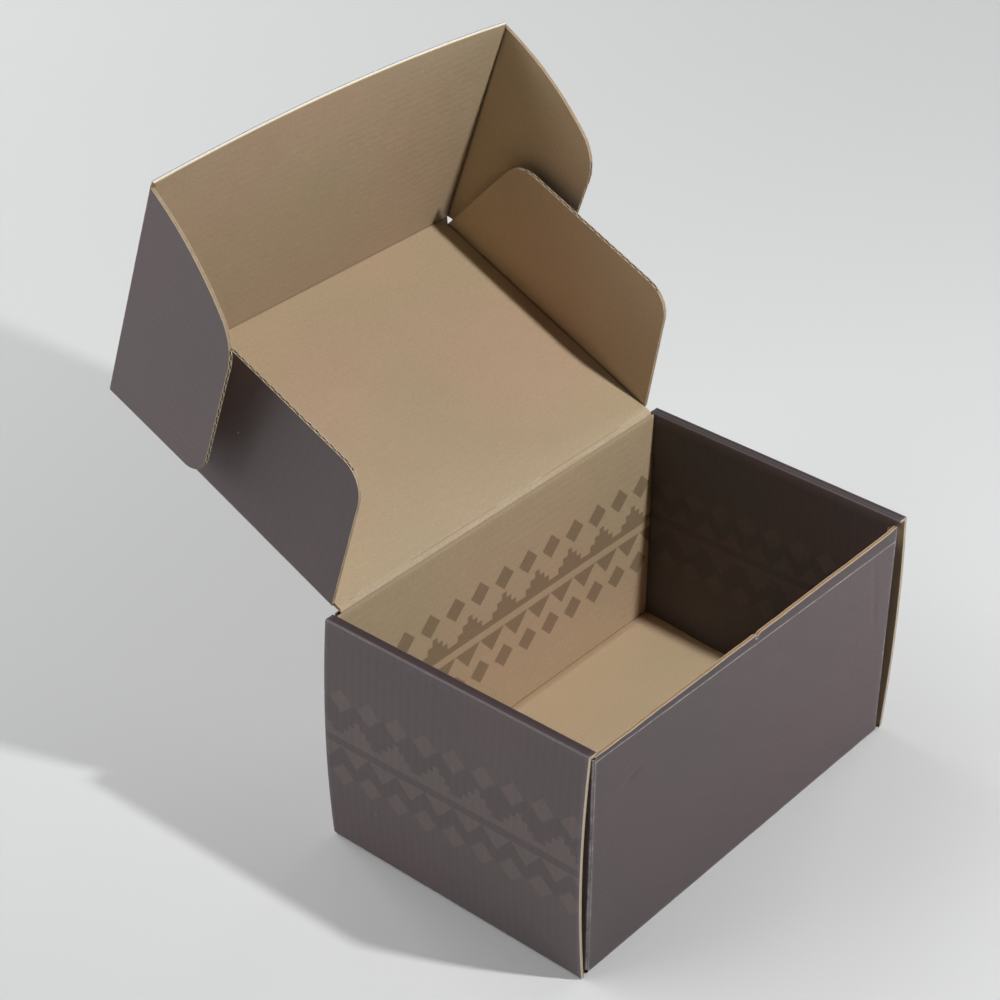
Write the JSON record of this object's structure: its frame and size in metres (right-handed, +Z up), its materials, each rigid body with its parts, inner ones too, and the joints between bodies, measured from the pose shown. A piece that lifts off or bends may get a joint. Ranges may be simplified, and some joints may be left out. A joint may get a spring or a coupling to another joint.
{
  "type": "corrugated mailer box",
  "caption": "Roll-end mailer box folded from one sheet of fine fluted board, its hinged lid thrown back with side flaps, a tuck panel and tapered ears.",
  "frame": {"origin": "middle of the base's underside, on the floor", "axes": "+Z up, +X along the lid's rear crease to the right when facing the box, -Y towards the front wall, +Y towards the lid's hinge"},
  "size_m": [0.178, 0.2051, 0.2218],
  "materials": {
    "printed_board": "matte, printed dark on the outside, bare kraft inside",
    "board": "matte bare kraft liner"
  },
  "bodies": {
    "tray": {"tray": "printed_board"},
    "lid_panel": {"lid_panel": "board"},
    "lid_flap_left": {"lid_flap_left": "board"},
    "lid_flap_right": {"lid_flap_right": "board"},
    "tuck_panel": {"tuck_panel": "board"},
    "tuck_ear_left": {"tuck_ear_left": "board"},
    "tuck_ear_right": {"tuck_ear_right": "board"}
  },
  "joints": [
    {"name": "lid_hinge", "type": "hinge", "parent": "tray", "child": "lid_panel", "pos_m": [0, 0.0529, 0.089], "axis": [1, 0, 0], "range_deg": [-48, 105]},
    {"name": "tuck_fold", "type": "hinge", "parent": "lid_panel", "child": "tuck_panel", "pos_m": [0, 0.15081, 0.1334], "axis": [1, 0, 0], "range_deg": [-84.8, 24]},
    {"name": "lid_flap_left_fold", "type": "hinge", "parent": "lid_panel", "child": "lid_flap_left", "pos_m": [-0.0802, 0.05238, 0.09019], "axis": [0, 0.9157, 0.4019], "range_deg": [-10, 80]},
    {"name": "lid_flap_right_fold", "type": "hinge", "parent": "lid_panel", "child": "lid_flap_right", "pos_m": [0.0802, 0.05238, 0.09019], "axis": [0, -0.9157, -0.4019], "range_deg": [-4, 80]},
    {"name": "tuck_ear_left_fold", "type": "hinge", "parent": "tuck_panel", "child": "tuck_ear_left", "pos_m": [-0.0826, 0.15081, 0.1334], "axis": [0, -0.3173, 0.9483], "range_deg": [-82, 8]},
    {"name": "tuck_ear_right_fold", "type": "hinge", "parent": "tuck_panel", "child": "tuck_ear_right", "pos_m": [0.0826, 0.15081, 0.1334], "axis": [0, 0.3173, -0.9483], "range_deg": [-89.5, 1.5]}
  ]
}
